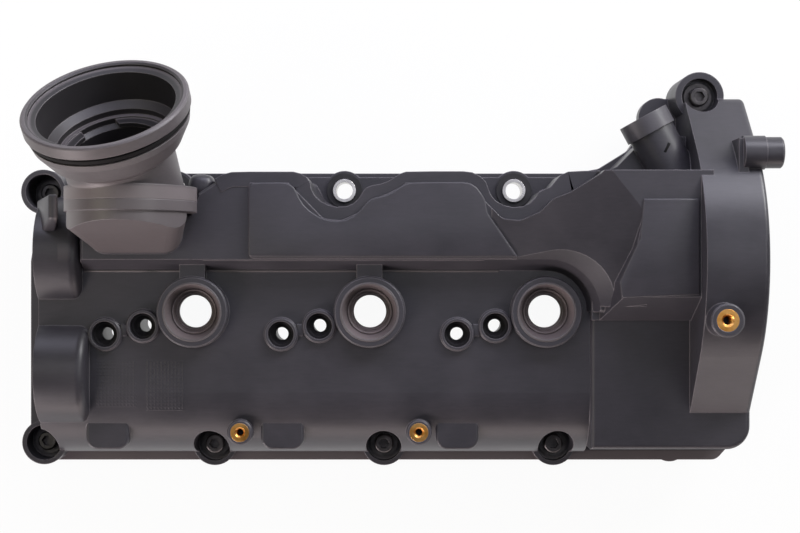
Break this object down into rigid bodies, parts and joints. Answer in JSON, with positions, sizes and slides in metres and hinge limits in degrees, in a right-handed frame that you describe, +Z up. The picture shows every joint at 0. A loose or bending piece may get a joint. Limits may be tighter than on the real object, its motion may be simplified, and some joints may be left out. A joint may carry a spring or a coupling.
{
  "type": "engine valve cover",
  "caption": "Black moulded valve cover of one cylinder bank, with injector wells, chain arch, vent port, and a wide angled filler neck.",
  "frame": {"origin": "axis of the middle injector well at the gasket plane", "axes": "+X along the camshafts towards the chain arch, +Y towards the middle of the V, +Z up from the gasket plane"},
  "size_m": [0.3877, 0.2072, 0.1565],
  "materials": {
    "black_moulding": "fine moulded grain, satin",
    "neck_moulding": "fine moulded grain, satin",
    "collar_plastic": "satin",
    "baffle_plastic": "satin",
    "seal_rubber": "dark rubber",
    "gasket_rubber": "dark rubber",
    "grommet_rubber": "dark rubber",
    "bolt_steel": "black oxide",
    "sleeve_steel": "turned",
    "brass": "turned"
  },
  "bodies": {
    "root": {"cover_shell": "black_moulding", "filler_neck": "neck_moulding", "neck_o_ring": "seal_rubber", "port_collar": "collar_plastic", "perimeter_gasket": "gasket_rubber", "separator_baffle": "baffle_plastic", "injector_seal_1": "seal_rubber", "plug_seal_1a": "seal_rubber", "plug_seal_1b": "seal_rubber", "injector_seal_2": "seal_rubber", "plug_seal_2a": "seal_rubber", "plug_seal_2b": "seal_rubber", "injector_seal_3": "seal_rubber", "plug_seal_3a": "seal_rubber", "plug_seal_3b": "seal_rubber", "bolt_front_1": "bolt_steel", "sleeve_front_1": "sleeve_steel", "bolt_front_2": "bolt_steel", "sleeve_front_2": "sleeve_steel", "bolt_front_3": "bolt_steel", "sleeve_front_3": "sleeve_steel", "bolt_corner": "bolt_steel", "sleeve_corner": "sleeve_steel", "bolt_neck_side": "bolt_steel", "sleeve_neck_side": "sleeve_steel", "bolt_ear": "bolt_steel", "sleeve_ear": "sleeve_steel", "eyelet_sleeve_1": "sleeve_steel", "grommet_1": "grommet_rubber", "eyelet_sleeve_2": "sleeve_steel", "grommet_2": "grommet_rubber", "eyelet_sleeve_3": "sleeve_steel", "grommet_3": "grommet_rubber", "brass_insert_1": "brass", "brass_insert_2": "brass", "high_brass_insert": "brass"}
  },
  "joints": []
}
